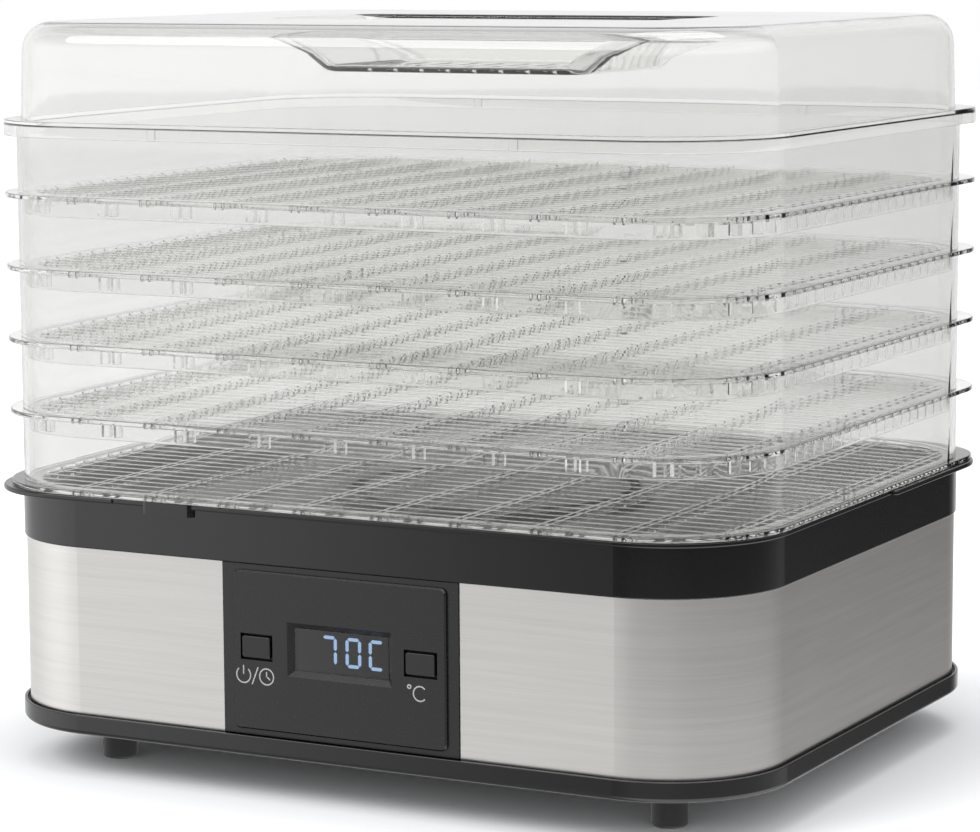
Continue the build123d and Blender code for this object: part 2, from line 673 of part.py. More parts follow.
with BuildPart() as lid:
    with BuildSketch(Plane.XY.offset(LID_SEAT)):
        outline(LID_WALL_OUT)
    extrude(amount=LID_TOP - LID_SEAT, taper=LID_DRAFT)
    fillet(lid.faces().sort_by(Axis.Z)[-1].edges(), LID_ROUND)
    with BuildSketch(Plane.XY.offset(LID_SEAT)):
        eared_outline(FLANGE_OUT, EAR_OUT, EAR_FRONT_OUT)
    extrude(amount=FLANGE)
    with BuildSketch(Plane.XY.offset(LID_SKIRT_BOTTOM)):
        eared_outline(FLANGE_OUT, EAR_OUT, EAR_FRONT_OUT)
    extrude(amount=LID_SEAT - LID_SKIRT_BOTTOM)
    with BuildSketch(Plane.XY.offset(LID_SKIRT_BOTTOM)):
        eared_outline(FLANGE_OUT - SKIRT_WALL, EAR_OUT - SKIRT_WALL, EAR_FRONT_OUT - SKIRT_WALL)
    extrude(amount=LID_SEAT - LID_SKIRT_BOTTOM, mode=Mode.SUBTRACT)
    add(lid_hollow.part, mode=Mode.SUBTRACT)
    with BuildSketch(Plane.XY.offset(LID_TOP - GRIP_DEPTH - LID_WALL)):
        RectangleRounded(GRIP_BOTTOM_W + 2 * LID_WALL, GRIP_BOTTOM_D + 2 * LID_WALL, 8)
    with BuildSketch(Plane.XY.offset(LID_TOP)):
        RectangleRounded(GRIP_TOP_W + 2 * LID_WALL, GRIP_TOP_D + 2 * LID_WALL, 8)
    loft()
    with BuildSketch(Plane.XY.offset(LID_TOP - GRIP_DEPTH)):
        RectangleRounded(GRIP_BOTTOM_W, GRIP_BOTTOM_D, 6)
    with BuildSketch(Plane.XY.offset(LID_TOP)):
        RectangleRounded(GRIP_TOP_W, GRIP_TOP_D, 6)
    loft(mode=Mode.SUBTRACT)
    # vent slots in the floor of the grip
    with BuildSketch(Plane.XY.offset(LID_TOP - GRIP_DEPTH - LID_WALL)):
        with GridLocations(12, 26, 8, 2):
            SlotOverall(20, 3, rotation=90)
    extrude(amount=LID_WALL, mode=Mode.SUBTRACT)
save(lid.part, "lid")
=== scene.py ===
# %% [markdown]
# # Food dehydrator
# A fan-heated base wrapped in brushed steel carries five clear trays and a clear lid.
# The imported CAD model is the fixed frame. It already holds the black base, the steel, the panel
# and everything inside. This lesson gives those parts their finishes, and models the clear
# trays, the lid, the lit digits and the printed marks, which need finer shapes than CAD has.

# %% Load the frame
import bmesh
import bpy
import math
from mathutils import Matrix, Vector


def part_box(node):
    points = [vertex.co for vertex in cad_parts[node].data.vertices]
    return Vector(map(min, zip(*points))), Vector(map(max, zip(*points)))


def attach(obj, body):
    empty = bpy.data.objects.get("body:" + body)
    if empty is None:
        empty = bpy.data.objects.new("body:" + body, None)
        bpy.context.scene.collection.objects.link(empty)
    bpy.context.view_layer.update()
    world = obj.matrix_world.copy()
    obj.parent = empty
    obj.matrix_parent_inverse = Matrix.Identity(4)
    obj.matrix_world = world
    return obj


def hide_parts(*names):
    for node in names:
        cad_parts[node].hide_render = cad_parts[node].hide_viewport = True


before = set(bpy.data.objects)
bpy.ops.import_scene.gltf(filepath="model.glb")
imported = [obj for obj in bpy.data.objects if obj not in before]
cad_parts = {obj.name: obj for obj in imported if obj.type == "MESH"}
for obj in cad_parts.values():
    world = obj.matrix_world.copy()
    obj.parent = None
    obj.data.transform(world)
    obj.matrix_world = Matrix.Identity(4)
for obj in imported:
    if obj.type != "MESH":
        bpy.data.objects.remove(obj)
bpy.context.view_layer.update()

# %% [markdown]
# Every place comes from the frame: the steel wrap gives the footprint, the base gives the level
# that the lowest tray stands on, and two trays give the pitch of the stack.

# %% Driving sizes, in metres
MM = 0.001
steel_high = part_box("steel_wrap")[1]
HALF_WIDTH = steel_high.x
HALF_DEPTH = steel_high.y
CORNER = 46.7 * MM
LIP_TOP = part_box("base_housing")[1].z
TRAY_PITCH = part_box("tray_2")[0].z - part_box("tray_1")[0].z
TRAY_COUNT = 5
LID_SEAT = LIP_TOP + TRAY_COUNT * TRAY_PITCH
LID_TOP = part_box("lid")[1].z
FLANGE = 1.9 * MM
print(f"footprint {2 * HALF_WIDTH:.4f} x {2 * HALF_DEPTH:.4f} m, trays every {TRAY_PITCH:.4f} m")

# %% [markdown]
# The camera stands to the right of the front and a little above the lid, far back with a long
# lens, as product photographers do it, so that the upright edges stay nearly parallel.


# %% Camera
def aim(azimuth, pitch, roll):
    """The camera's turn, for a view azimuth degrees round from the front, looking pitch down."""
    turn, dip, lean = (math.radians(a) for a in (azimuth, pitch, roll))
    ahead = Vector((-math.sin(turn) * math.cos(dip), math.cos(turn) * math.cos(dip), -math.sin(dip)))
    right = Vector((math.cos(turn), math.sin(turn), 0))
    up = right.cross(ahead)
    side = math.cos(lean) * right + math.sin(lean) * up
    top = -math.sin(lean) * right + math.cos(lean) * up
    return Matrix((side, top, -ahead)).transposed()


camera = bpy.data.objects.new("camera", bpy.data.cameras.new("camera"))
bpy.context.scene.collection.objects.link(camera)
camera.data.lens = 126.71
camera.data.sensor_width = 36
camera.data.clip_start = 0.05
camera.location = (0.65827, -1.24726, 0.3326)
camera.rotation_mode = "QUATERNION"
camera.rotation_quaternion = aim(27.936, 7.938, -0.3205).to_quaternion()
bpy.context.scene.camera = camera
print("camera", round(camera.data.lens, 1), "mm lens")


# %% [markdown]
# Materials are built from nodes. One helper adds a node: plain values go to its sockets, and an
# output socket given as a value is linked. Colours are written as sRGB hex values, as they are
# read from a colour card, and one function turns them linear.


# %% Helpers for materials
def linear(code):
    """An sRGB hex value as linear red, green, blue and alpha."""
    parts = [int(code[i:i + 2], 16) / 255 for i in (1, 3, 5)]
    return [c / 12.92 if c <= 0.04045 else ((c + 0.055) / 1.055) ** 2.4 for c in parts] + [1.0]


def add_node(tree, kind, inputs=None, **settings):
    """Adds one node with its settings, its socket values and the links into it."""
    made = tree.nodes.new(kind)
    for name, value in settings.items():
        setattr(made, name, value)
    for name, value in (inputs or {}).items():
        if isinstance(value, bpy.types.NodeSocket):
            tree.links.new(value, made.inputs[name])
        else:
            made.inputs[name].default_value = value
    return made


def new_material(name):
    """An empty material and its node tree."""
    material = bpy.data.materials.new(name)
    material.use_nodes = True
    material.node_tree.nodes.clear()
    return material, material.node_tree


# %% [markdown]
# The set is a white floor under a white sky, with a soft key light from the front left. Gloss
# needs something to mirror, so rays that bounce off a surface see a darker studio: a bright
# window to the front left, a dim strip to the right and shade behind. Rays that have passed
# through the clear plastic see the white sky near the horizon and a grey ceiling above it,
# which is what draws the edges of the trays.

# %% Sky
scene = bpy.context.scene
scene.view_settings.view_transform = "Standard"
scene.cycles.max_bounces = 28
scene.cycles.transmission_bounces = 28
scene.cycles.transparent_max_bounces = 64
scene.cycles.caustics_reflective = False
scene.cycles.caustics_refractive = False

# brightness of the mirrored studio, by degrees round from the front towards the right: first near
# the horizon, then overhead and underfoot, where only the brushed steel's tall highlight reaches
STUDIO = [(-180, 0.8), (-165, 0.95), (-130, 0.95), (-100, 1.0), (-60, 1.75), (-37, 1.75),
          (-33, 1.6), (-30, 1.0), (-27, 0.35), (-20, 0.06), (60, 0.06), (120, 0.1), (150, 0.3),
          (157, 0.06), (166, 0.06), (180, 0.8)]
OVERHEAD = [(-180, 0.9), (-60, 0.65), (-35, 0.5), (-30, 0.7), (-25, 1.2), (-10, 2.3), (15, 2.4),
            (50, 2.0), (122, 2.2), (148, 1.6), (156, 0.75), (161, 0.35), (170, 0.5), (180, 0.9)]
sky = bpy.data.worlds.new("studio")
scene.world = sky
sky.use_nodes = True
tree = sky.node_tree
tree.nodes.clear()
ray = add_node(tree, "ShaderNodeLightPath")
place = add_node(tree, "ShaderNodeTexCoord")
axes = add_node(tree, "ShaderNodeSeparateXYZ", {"Vector": place.outputs["Generated"]})
front = add_node(tree, "ShaderNodeMath", {0: axes.outputs["Y"], 1: -1.0}, operation="MULTIPLY")
turn = add_node(tree, "ShaderNodeMath", {0: axes.outputs["X"], 1: front.outputs[0]}, operation="ARCTAN2")
share = add_node(tree, "ShaderNodeMapRange", {"Value": turn.outputs[0], "From Min": -math.pi,
                                              "From Max": math.pi})
rings = []
for levels in (STUDIO, OVERHEAD):
    ring = add_node(tree, "ShaderNodeValToRGB", {"Fac": share.outputs[0]})
    stops = ring.color_ramp.elements
    while len(stops) < len(levels):
        stops.new(0.5)
    for stop, (degrees, level) in zip(stops, levels):
        stop.position = degrees / 360 + 0.5
        stop.color = (level, level, level, 1)
    rings.append(ring)
rise = add_node(tree, "ShaderNodeMath", {0: axes.outputs["Z"]}, operation="ABSOLUTE")
height = add_node(tree, "ShaderNodeMapRange", {"Value": rise.outputs[0], "From Min": 0.17, "From Max": 0.45})
mirrored = add_node(tree, "ShaderNodeMix", {"Factor": height.outputs[0], 6: rings[0].outputs["Color"],
                                            7: rings[1].outputs["Color"]}, data_type="RGBA")
# what is seen through the clear plastic: white round the horizon, grey above
ceiling = add_node(tree, "ShaderNodeMapRange", {"Value": axes.outputs["Z"], "From Min": 0.30,
                                                "From Max": 0.70, "To Min": 1.0, "To Max": 0.45})
passed = add_node(tree, "ShaderNodeBackground", {"Color": (1, 1, 1, 1), "Strength": ceiling.outputs[0]})
bounced = add_node(tree, "ShaderNodeBackground", {"Color": mirrored.outputs[2], "Strength": 1.0})
direct = add_node(tree, "ShaderNodeBackground", {"Color": (1, 1, 1, 1), "Strength": 1.0})
soft = add_node(tree, "ShaderNodeBackground", {"Color": (0.97, 0.98, 1, 1), "Strength": 1.0})
glossy = add_node(tree, "ShaderNodeMixShader", {0: ray.outputs["Is Glossy Ray"], 1: soft.outputs[0],
                                                2: bounced.outputs[0]})
inside = add_node(tree, "ShaderNodeMath", {0: ray.outputs["Transmission Depth"], 1: 0.5},
                  operation="GREATER_THAN")
through = add_node(tree, "ShaderNodeMixShader", {0: inside.outputs[0], 1: glossy.outputs[0],
                                                 2: passed.outputs[0]})
seen = add_node(tree, "ShaderNodeMixShader", {0: ray.outputs["Is Camera Ray"], 1: through.outputs[0],
                                              2: direct.outputs[0]})
add_node(tree, "ShaderNodeOutputWorld", {"Surface": seen.outputs[0]})
print("sky with", len(STUDIO), "stops round the horizon")


# %% Lights and floor
def soft_light(name, place, target, size, power):
    """A square soft box that the camera and the clear plastic don't see."""
    light = bpy.data.lights.new(name, "AREA")
    light.size = size
    light.energy = power
    lamp = bpy.data.objects.new(name, light)
    scene.collection.objects.link(lamp)
    lamp.location = place
    lamp.rotation_euler = (Vector(target) - Vector(place)).to_track_quat("-Z", "Y").to_euler()
    lamp.visible_camera = False
    lamp.visible_transmission = False
    return lamp


key = bpy.data.objects.new("key", bpy.data.lights.new("key", "SUN"))
scene.collection.objects.link(key)
key.data.energy = 1.1
key.data.angle = math.radians(35)
key.rotation_euler = Vector((0.55, 0.75, -0.95)).to_track_quat("-Z", "Y").to_euler()
key.visible_camera = False
key.visible_transmission = False
soft_light("overhead", (0.1, 0.2, 1.7), (0, 0, 0.2), 1.0, 9)

bpy.ops.mesh.primitive_circle_add(vertices=96, radius=6, fill_type="NGON", location=(0, 0, 0))
floor = bpy.context.object
floor.name = "floor"
floor.visible_glossy = False
paper, tree = new_material("seamless white paper")
place = add_node(tree, "ShaderNodeTexCoord")
fibre = add_node(tree, "ShaderNodeTexNoise", {"Vector": place.outputs["Object"], "Scale": 700.0,
                                              "Detail": 3.0})
tone = add_node(tree, "ShaderNodeMix", {"Factor": fibre.outputs["Fac"], 6: linear("#f4f4f4"),
                                        7: linear("#fafafa")}, data_type="RGBA")
matte = add_node(tree, "ShaderNodeBsdfDiffuse", {"Color": tone.outputs[2], "Roughness": 0.6})
add_node(tree, "ShaderNodeOutputMaterial", {"Surface": matte.outputs[0]})
floor.data.materials.append(paper)
print("floor radius", 6, "m")


# %% [markdown]
# ## Finishes
# The base, the skirt and the panel are ABS, moulded in a spark-eroded tool. That leaves a very
# fine grain that turns gloss into a satin sheen, so the bump is small and the roughness medium.
# The same recipe with other numbers serves every other moulded part inside.


# %% Moulded plastics
SHEEN_SPREAD = 0.05


def moulded(name, light, dark, rough, grain, depth, gloss=0.5):
    """Moulded plastic: two close shades, satin roughness and a grain, with sizes in metres."""
    material, tree = new_material(name)
    place = add_node(tree, "ShaderNodeTexCoord")
    cloud = add_node(tree, "ShaderNodeTexNoise", {"Vector": place.outputs["Object"], "Scale": 1 / (45 * MM),
                                                  "Detail": 4.0})
    tone = add_node(tree, "ShaderNodeMix", {"Factor": cloud.outputs["Fac"], 6: linear(dark),
                                            7: linear(light)}, data_type="RGBA")
    pits = add_node(tree, "ShaderNodeTexNoise", {"Vector": place.outputs["Object"], "Scale": 1 / grain,
                                                 "Detail": 2.0})
    sheen = add_node(tree, "ShaderNodeMapRange", {"Value": pits.outputs["Fac"], "From Min": 0.3,
                                                  "From Max": 0.7, "To Min": rough - SHEEN_SPREAD,
                                                  "To Max": rough + SHEEN_SPREAD})
    bump = add_node(tree, "ShaderNodeBump", {"Height": pits.outputs["Fac"], "Distance": depth,
                                             "Strength": 1.0})
    surface = add_node(tree, "ShaderNodeBsdfPrincipled", {"Base Color": tone.outputs[2],
                                                          "Roughness": sheen.outputs[0], "IOR": 1.52,
                                                          "Specular IOR Level": gloss,
                                                          "Normal": bump.outputs[0]})
    add_node(tree, "ShaderNodeOutputMaterial", {"Surface": surface.outputs[0]})
    return material


# the grain of a spark-eroded tool is about 0.1 mm; 0.5 mm is as fine as shows here
# housing and bottom cover: ABS from a spark-eroded tool, deep black with a satin sheen
black_abs = moulded("black ABS, spark-eroded satin", "#0b0b0b", "#080808", 0.17, 0.5 * MM, 0.006 * MM)
# control panel: the same plastic from a finer tool, so a little greyer and flatter
panel_abs = moulded("black ABS, fine satin panel", "#131313", "#0f0f0f", 0.3, 0.6 * MM, 0.001 * MM)
# key caps: ABS, dulled slightly more so that they stand off the panel
key_abs = moulded("black ABS, key caps", "#141415", "#101011", 0.38, 0.4 * MM, 0.004 * MM)
# feet: soft thermoplastic rubber, moulded and matt, to grip the table
foot_rubber = moulded("black TPE feet, moulded", "#161616", "#0e0e0e", 0.55, 0.7 * MM, 0.02 * MM, 0.4)
# fan: glass-filled nylon, whose fibres rise to the surface as a grey haze
fan_nylon = moulded("glass-filled nylon fan", "#2a2a2b", "#1d1d1e", 0.5, 0.9 * MM, 0.02 * MM)
# display body: grey PBT, matt, so that unlit segments vanish behind the window
grey_pbt = moulded("grey PBT display body", "#3c3a38", "#343230", 0.5, 0.5 * MM, 0.004 * MM)
# switches, sensor, transformer and capacitors: phenolic and sleeved cases with a low sheen
black_phenolic = moulded("black phenolic component cases", "#1c1c1e", "#121214", 0.42, 0.6 * MM, 0.01 * MM)
# relay: blue PBT case, smooth from a polished tool
blue_pbt = moulded("blue PBT relay case", "#2a4f9e", "#1f3f86", 0.3, 0.6 * MM, 0.006 * MM)
# terminal block and board posts: natural nylon, milky and slightly waxy
white_nylon = moulded("white nylon terminals and posts", "#e9e8e2", "#d6d5cc", 0.42, 0.6 * MM, 0.008 * MM)
print("plastics:", len([m for m in bpy.data.materials if m.name != paper.name]))

# %% [markdown]
# The wrap is 430 stainless sheet, brushed along its length before it is bent. The brush leaves
# long fine scratches that all run round the base, so light spreads up and down across them. The
# pattern is noise squeezed in height and stretched along the other axes; a wide, faint layer adds
# the slow bands that a worn brush leaves.

# %% Brushed steel
brushed_steel, tree = new_material("430 stainless, brushed along its length")
place = add_node(tree, "ShaderNodeTexCoord")
# scratches are about 0.05 mm wide; 0.5 mm is as fine as shows here, and they run 40 mm or so
fine = add_node(tree, "ShaderNodeMapping", {"Vector": place.outputs["Object"], "Scale": (0.012, 0.012, 1.0)})
scratch = add_node(tree, "ShaderNodeTexNoise", {"Vector": fine.outputs[0], "Scale": 1 / (0.55 * MM),
                                                "Detail": 3.0, "Roughness": 0.6})
wide = add_node(tree, "ShaderNodeMapping", {"Vector": place.outputs["Object"], "Scale": (0.02, 0.02, 1.0)})
band = add_node(tree, "ShaderNodeTexNoise", {"Vector": wide.outputs[0], "Scale": 1 / (2 * MM), "Detail": 2.0})
mixed = add_node(tree, "ShaderNodeMath", {0: scratch.outputs["Fac"], 1: band.outputs["Fac"]}, operation="ADD")
spread = add_node(tree, "ShaderNodeMapRange", {"Value": mixed.outputs[0], "From Min": 0.75, "From Max": 1.25})
tone = add_node(tree, "ShaderNodeMix", {"Factor": spread.outputs[0], 6: linear("#d0cecb"),
                                        7: linear("#d8d6d3")}, data_type="RGBA")
polish = add_node(tree, "ShaderNodeMapRange", {"Value": scratch.outputs["Fac"], "From Min": 0.3,
                                               "From Max": 0.7, "To Min": 0.33, "To Max": 0.37})
groove = add_node(tree, "ShaderNodeBump", {"Height": scratch.outputs["Fac"], "Distance": 0.003 * MM,
                                           "Strength": 0.5})
along = add_node(tree, "ShaderNodeTangent", direction_type="RADIAL", axis="Z")
surface = add_node(tree, "ShaderNodeBsdfPrincipled", {"Base Color": tone.outputs[2], "Metallic": 1.0,
                                                      "Roughness": polish.outputs[0], "Anisotropic": 0.75,
                                                      "Tangent": along.outputs[0],
                                                      "Normal": groove.outputs[0]})
add_node(tree, "ShaderNodeOutputMaterial", {"Surface": surface.outputs[0]})
print("made", brushed_steel.name)


# %% [markdown]
# Zinc plate, motor steel and heater wire are small metal parts inside. One recipe with a fine
# mottle makes them; zinc has its pale spangle, resistance wire a brown oxide.


# %% Metals inside
def plated(name, light, dark, rough, mottle):
    """Plain or plated metal with a mottle of the given size in metres."""
    material, tree = new_material(name)
    place = add_node(tree, "ShaderNodeTexCoord")
    cells = add_node(tree, "ShaderNodeTexVoronoi", {"Vector": place.outputs["Object"], "Scale": 1 / mottle})
    tone = add_node(tree, "ShaderNodeMix", {"Factor": cells.outputs["Distance"], 6: linear(light),
                                            7: linear(dark)}, data_type="RGBA")
    haze = add_node(tree, "ShaderNodeTexNoise", {"Vector": place.outputs["Object"],
                                                 "Scale": 1 / (2 * mottle)})
    dull = add_node(tree, "ShaderNodeMapRange", {"Value": haze.outputs["Fac"], "To Min": rough - 0.08,
                                                 "To Max": rough + 0.08})
    surface = add_node(tree, "ShaderNodeBsdfPrincipled", {"Base Color": tone.outputs[2], "Metallic": 1.0,
                                                          "Roughness": dull.outputs[0]})
    add_node(tree, "ShaderNodeOutputMaterial", {"Surface": surface.outputs[0]})
    return material


zinc = plated("zinc-plated steel", "#c9ccd0", "#9fa4aa", 0.35, 3 * MM)
motor_steel = plated("drawn motor can", "#a8a9ab", "#86878a", 0.32, 1.5 * MM)
heater_wire = plated("oxidised resistance wire", "#8a7a6d", "#5f544c", 0.5, 0.8 * MM)
print("metals:", zinc.name, motor_steel.name, heater_wire.name)

# %% [markdown]
# The heater sits on mica board, pressed from flakes, and the electronics on glass-epoxy board
# under a green lacquer with copper tracks showing faintly through it.

# %% Mica and circuit board
mica, tree = new_material("pressed mica board")
place = add_node(tree, "ShaderNodeTexCoord")
flakes = add_node(tree, "ShaderNodeTexVoronoi", {"Vector": place.outputs["Object"], "Scale": 1 / (2.5 * MM)})
tone = add_node(tree, "ShaderNodeMix", {"Factor": flakes.outputs["Distance"], 6: linear("#d8cba4"),
                                        7: linear("#a8976a")}, data_type="RGBA")
bump = add_node(tree, "ShaderNodeBump", {"Height": flakes.outputs["Distance"], "Distance": 0.03 * MM})
surface = add_node(tree, "ShaderNodeBsdfPrincipled", {"Base Color": tone.outputs[2], "Roughness": 0.45,
                                                      "IOR": 1.56, "Normal": bump.outputs[0]})
add_node(tree, "ShaderNodeOutputMaterial", {"Surface": surface.outputs[0]})

circuit_board, tree = new_material("glass-epoxy circuit board, green lacquer")
place = add_node(tree, "ShaderNodeTexCoord")
tracks = add_node(tree, "ShaderNodeTexBrick", {"Vector": place.outputs["Object"], "Scale": 1 / (9 * MM),
                                               "Color1": linear("#1f6b3b"), "Color2": linear("#1a5c33"),
                                               "Mortar": linear("#3c8d4f"), "Mortar Size": 0.03})
surface = add_node(tree, "ShaderNodeBsdfPrincipled", {"Base Color": tracks.outputs["Color"], "Roughness": 0.3,
                                                      "IOR": 1.55})
add_node(tree, "ShaderNodeOutputMaterial", {"Surface": surface.outputs[0]})
print("made", mica.name, "and", circuit_board.name)

# %% [markdown]
# Trays and lid are SAN, a clear styrene plastic that appliance makers choose because it stays
# stiff in warm air. Moulded in a polished tool it is as glossy as glass, with a faint grey cast
# and a slow waviness where the melt shrank. Real glass and plastic throw bright caustics that a
# path tracer can't find, so rays from lamps pass straight through it instead.


# %% Clear plastic
def clear(name, colour, shade, rough, wave):
    """Clear moulded plastic. Lamps shine through it by way of a plain transparent shader."""
    material, tree = new_material(name)
    place = add_node(tree, "ShaderNodeTexCoord")
    flow = add_node(tree, "ShaderNodeTexNoise", {"Vector": place.outputs["Object"], "Scale": 1 / (35 * MM),
                                                 "Detail": 2.0})
    haze = add_node(tree, "ShaderNodeMapRange", {"Value": flow.outputs["Fac"], "To Min": rough * 0.5,
                                                 "To Max": rough * 1.5})
    bump = add_node(tree, "ShaderNodeBump", {"Height": flow.outputs["Fac"], "Distance": wave,
                                             "Strength": 1.0})
    plastic = add_node(tree, "ShaderNodeBsdfPrincipled", {"Base Color": linear(colour), "IOR": 1.57,
                                                          "Roughness": haze.outputs[0],
                                                          "Transmission Weight": 1.0,
                                                          "Normal": bump.outputs[0]})
    ray = add_node(tree, "ShaderNodeLightPath")
    lamp = add_node(tree, "ShaderNodeMath", {0: ray.outputs["Is Shadow Ray"],
                                             1: ray.outputs["Is Diffuse Ray"]}, operation="MAXIMUM")
    clear_path = add_node(tree, "ShaderNodeBsdfTransparent", {"Color": linear(shade)})
    mixed = add_node(tree, "ShaderNodeMixShader", {0: lamp.outputs[0], 1: plastic.outputs[0],
                                                   2: clear_path.outputs[0]})
    add_node(tree, "ShaderNodeOutputMaterial", {"Surface": mixed.outputs[0]})
    return material


clear_san = clear("clear SAN, injection moulded", "#f9f9f8", "#fbfbfa", 0.02, 0.04 * MM)
smoked_pmma = clear("smoked acrylic window", "#6f6b67", "#a09c98", 0.03, 0.01 * MM)
print("made", clear_san.name, "and", smoked_pmma.name)

# %% [markdown]
# Each CAD node keeps its own mesh and only takes a finish.

# %% Finishes of the CAD nodes
FINISHES = {
    black_abs: ["base_housing", "bottom_cover", "outlet_guard", "cord_bush"],
    foot_rubber: ["foot_front_left", "foot_front_right", "foot_back_left", "foot_back_right"],
    brushed_steel: ["steel_wrap"],
    panel_abs: ["control_panel"],
    key_abs: ["power_timer_button", "temperature_button"],
    smoked_pmma: ["display_lens"],
    grey_pbt: ["display_module"],
    circuit_board: ["control_board", "supply_board"],
    zinc: ["cover_screws", "board_screws", "motor_bracket", "motor_screws", "heat_shield", "thermal_fuse"],
    motor_steel: ["fan_motor", "motor_shaft"],
    fan_nylon: ["fan_impeller"],
    mica: ["heater_frame"],
    heater_wire: ["heater_coil"],
    black_phenolic: ["tact_switches", "temperature_sensor", "transformer", "filter_capacitors"],
    blue_pbt: ["heater_relay"],
    white_nylon: ["supply_posts", "terminal_block"],
    clear_san: ["lid"] + [f"tray_{number}" for number in range(1, TRAY_COUNT + 1)],
}
for finish, nodes in FINISHES.items():
    for node in nodes:
        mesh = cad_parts[node].data
        mesh.materials.clear()
        mesh.materials.append(finish)
print("finished", sum(len(nodes) for nodes in FINISHES.values()), "of", len(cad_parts), "CAD nodes")

# %% [markdown]
# ## Clear trays
# Each tray is one injection moulding: an upright wall, a flange that the hand grips, a slotted
# floor and a short rim below that drops inside the wall of the tray underneath. The flange sets
# the level of the floor, and two of its corners are tighter and so stand out to lift by. A few helpers come
# first: they open a piece for editing, choose its faces or corners by where they lie, and join
# or cut pieces.


# %% Helpers for modelling
def deselect():
    """Leaves edit mode and clears the selection."""
    if bpy.context.object and bpy.context.object.mode != "OBJECT":
        bpy.ops.object.mode_set(mode="OBJECT")
    bpy.ops.object.select_all(action="DESELECT")


def edit(piece):
    """Opens one piece for editing with all of it selected."""
    deselect()
    piece.select_set(True)
    bpy.context.view_layer.objects.active = piece
    bpy.ops.object.mode_set(mode="EDIT")
    bpy.ops.mesh.select_all(action="SELECT")


def pick(kind, test):
    """Selects only the vertices, edges or faces of the open piece that pass the test."""
    data = bpy.context.object.data
    bpy.ops.mesh.select_mode(type=kind)
    bpy.ops.mesh.select_all(action="DESELECT")
    mesh = bmesh.from_edit_mesh(data)
    parts = {"VERT": mesh.verts, "EDGE": mesh.edges, "FACE": mesh.faces}[kind]
    chosen = [part for part in parts if test(part)]
    for part in chosen:
        part.select_set(True)
    mesh.select_flush_mode()
    bmesh.update_edit_mesh(data)
    return len(chosen)


def close(piece):
    """Turns the normals outwards and leaves edit mode."""
    bpy.ops.mesh.select_all(action="SELECT")
    bpy.ops.mesh.normals_make_consistent(inside=False)
    bpy.ops.object.mode_set(mode="OBJECT")
    return piece


def modify(piece, kind, **settings):
    """Adds one modifier, sets it and applies it."""
    deselect()
    piece.select_set(True)
    bpy.context.view_layer.objects.active = piece
    change = piece.modifiers.new(kind.lower(), kind)
    for name, value in settings.items():
        setattr(change, name, value)
    bpy.ops.object.modifier_apply(modifier=change.name)
    return piece


def combine(piece, other, operation):
    """Unites, cuts or crosses a piece with another, which is used up."""
    modify(piece, "BOOLEAN", operation=operation, solver="EXACT", object=other)
    bpy.data.objects.remove(other)
    return piece


def slab(name, half_x, half_y, low, high, corner=0.0, wall=0.0, centre=(0, 0), rounded=lambda place: True):
    """A flat block. A plane is sized in place, its corners are rounded, and it is pulled up to high.
    With a wall, only a border of that width is pulled up."""
    deselect()
    bpy.ops.mesh.primitive_plane_add(size=2, location=(*centre, low))
    piece = bpy.context.object
    piece.name = name
    bpy.ops.transform.resize(value=(half_x, half_y, 1))
    bpy.ops.object.transform_apply(location=True, rotation=True, scale=True)
    edit(piece)
    if corner:
        pick("VERT", lambda vertex: rounded(vertex.co))
        bpy.ops.mesh.bevel(offset=corner, segments=16, affect="VERTICES")
        bpy.ops.mesh.select_all(action="SELECT")
    if wall:
        bpy.ops.mesh.select_mode(type="FACE")
        bpy.ops.mesh.inset(thickness=wall)
        bpy.ops.mesh.delete(type="FACE")
        bpy.ops.mesh.select_all(action="SELECT")
    bpy.ops.mesh.extrude_region_move(TRANSFORM_OT_translate={"value": (0, 0, high - low)})
    return close(piece)


def footprint(name, out, low, high, wall=0.0):
    """A slab with the outline of the steel wrap, moved outwards by out."""
    return slab(name, HALF_WIDTH + out, HALF_DEPTH + out, low, high, CORNER + out, wall)


# two corners of every flange are tighter, so that they stand out as ledges to lift by
GRIP_CORNER_FRONT = 42 * MM
GRIP_CORNER_BACK = 34 * MM


def flange(name, out, low, high, tighter=0.0):
    """A footprint slab with tighter corners at the front left and back right."""
    piece = slab(name, HALF_WIDTH + out, HALF_DEPTH + out, low, high)
    radii = {(-1, -1): GRIP_CORNER_FRONT - tighter, (1, 1): GRIP_CORNER_BACK - tighter,
             (1, -1): CORNER + out, (-1, 1): CORNER + out}
    edit(piece)
    for (side, end), radius in radii.items():
        tip = Vector((side * (HALF_WIDTH + out), end * (HALF_DEPTH + out), 0))
        pick("EDGE", lambda line: all((v.co.xy - tip.xy).length < 0.1 * MM for v in line.verts))
        bpy.ops.mesh.bevel(offset=radius, segments=16, affect="EDGES")
    return close(piece)


def soften(piece, width):
    """Rounds every sharp edge as a mould does."""
    modify(piece, "BEVEL", width=width, segments=2, limit_method="ANGLE", angle_limit=math.radians(40),
           use_clamp_overlap=True)
    return piece


def smooth(piece, degrees=32):
    """Merges corners that booleans left in one place, then shades smooth between the edges."""
    edit(piece)
    bpy.ops.mesh.remove_doubles(threshold=0.004 * MM)
    bpy.ops.mesh.select_all(action="SELECT")
    bpy.ops.mesh.dissolve_degenerate(threshold=0.002 * MM)
    close(piece)
    deselect()
    piece.select_set(True)
    bpy.context.view_layer.objects.active = piece
    bpy.ops.object.shade_smooth_by_angle(angle=math.radians(degrees))
    # large flat faces keep their own normals, or a clear wall would bend light like a lens
    modify(piece, "WEIGHTED_NORMAL", keep_sharp=True, weight=100)
    return piece


